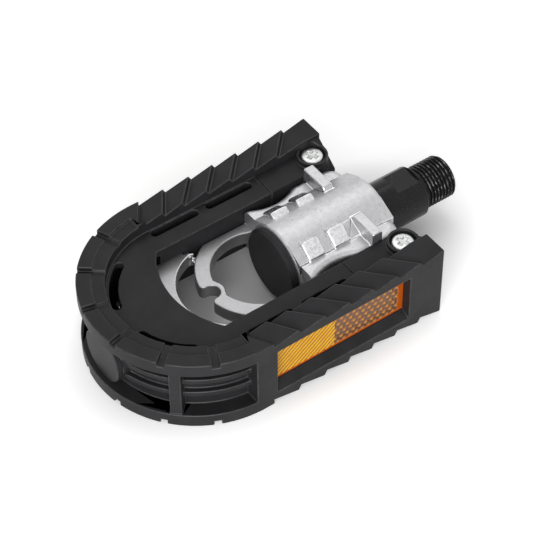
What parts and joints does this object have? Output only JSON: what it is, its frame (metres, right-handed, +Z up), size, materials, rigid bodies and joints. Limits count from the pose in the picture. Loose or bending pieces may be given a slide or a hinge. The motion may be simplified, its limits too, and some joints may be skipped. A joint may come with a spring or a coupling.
{
  "type": "folding bicycle pedal",
  "caption": "Folding bicycle pedal: black stepped cage that folds about a cast aluminium barrel on a threaded spindle, with amber side reflectors and a sprung finger latch.",
  "frame": {"origin": "on the spindle's axis at the shoulder that seats on the crank arm", "axes": "+X along the spindle towards the crank, +Y across the pedal, +Z up out of the upper treads"},
  "size_m": [0.1297, 0.071, 0.027],
  "materials": {
    "black_nylon": "moulded, slightly glossy",
    "cast_aluminium": "die cast, tumbled",
    "black_steel": "black oxide",
    "bearing_steel": "ground",
    "zinc_steel": "zinc plated",
    "black_rubber": "matt",
    "amber_lens": "clear amber with prisms",
    "amber_back": "moulded"
  },
  "bodies": {
    "spindle": {"spindle": "black_steel", "outboard_cone": "bearing_steel", "keyed_washer": "zinc_steel", "lock_nut": "zinc_steel"},
    "body": {"body": "cast_aluminium", "inboard_cup": "bearing_steel", "inboard_balls": "bearing_steel", "outboard_cup": "bearing_steel", "outboard_balls": "bearing_steel", "inboard_seal": "black_rubber", "dust_cap": "black_nylon", "hinge_pin_far": "bearing_steel", "hinge_pin_near": "bearing_steel"},
    "cage": {"cage": "black_nylon", "hinge_cap_far": "black_nylon", "hinge_cap_near": "black_nylon", "hinge_screw_far": "zinc_steel", "hinge_screw_near": "zinc_steel", "hinge_nut_far": "zinc_steel", "hinge_nut_near": "zinc_steel", "reflector_lens_far": "amber_lens", "reflector_lens_near": "amber_lens", "reflector_back_far": "amber_back", "reflector_back_near": "amber_back", "end_plug": "black_nylon", "latch_spring": "zinc_steel"},
    "latch": {"latch_plate": "cast_aluminium"}
  },
  "joints": [
    {"name": "spin", "type": "hinge", "parent": "spindle", "child": "body", "pos_m": [0, 0, 0], "axis": [1, 0, 0], "continuous": true},
    {"name": "fold", "type": "hinge", "parent": "body", "child": "cage", "pos_m": [-0.0298, 0, 0], "axis": [0, 1, 0], "range_deg": [-90, 90]},
    {"name": "latch_pull", "type": "slide", "parent": "cage", "child": "latch", "axis": [-1, 0, 0], "range_m": [0, 0.005], "stiffness_N_per_m": 600, "springref_m": -0.004, "deforming": ["latch_spring"]}
  ]
}
